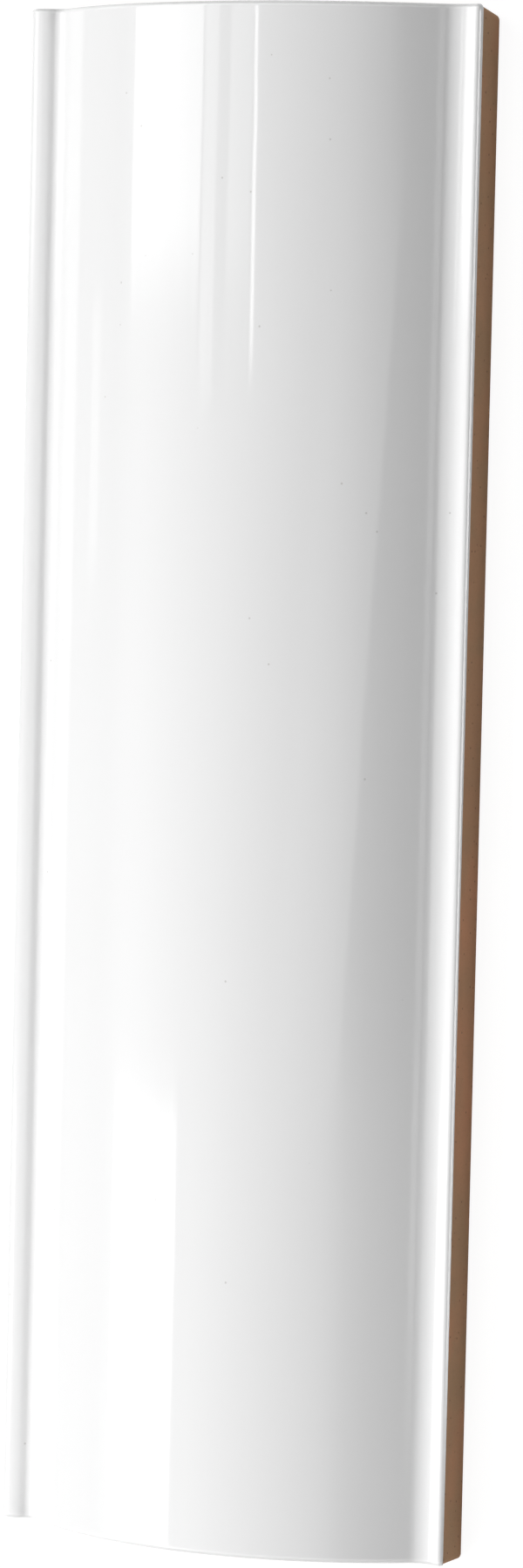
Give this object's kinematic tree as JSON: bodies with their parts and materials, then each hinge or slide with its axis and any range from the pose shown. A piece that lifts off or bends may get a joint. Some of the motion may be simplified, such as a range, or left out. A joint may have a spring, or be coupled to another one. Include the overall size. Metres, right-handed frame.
{
  "type": "convex ceramic wall tile",
  "caption": "Long narrow glazed wall tile with a rounded convex face between two flat lips, square-cut ends and a flat keyed back for bedding in adhesive.",
  "frame": {"origin": "middle of the flat back, the face that is bedded in adhesive", "axes": "+Z out through the crown of the glazed face, +Y along the tile's length, X across its width; the tile lies on its back"},
  "size_m": [0.065, 0.2, 0.016],
  "materials": {
    "glazed_clay": "gloss"
  },
  "bodies": {
    "root": {"convex_tile": "glazed_clay"}
  },
  "joints": []
}
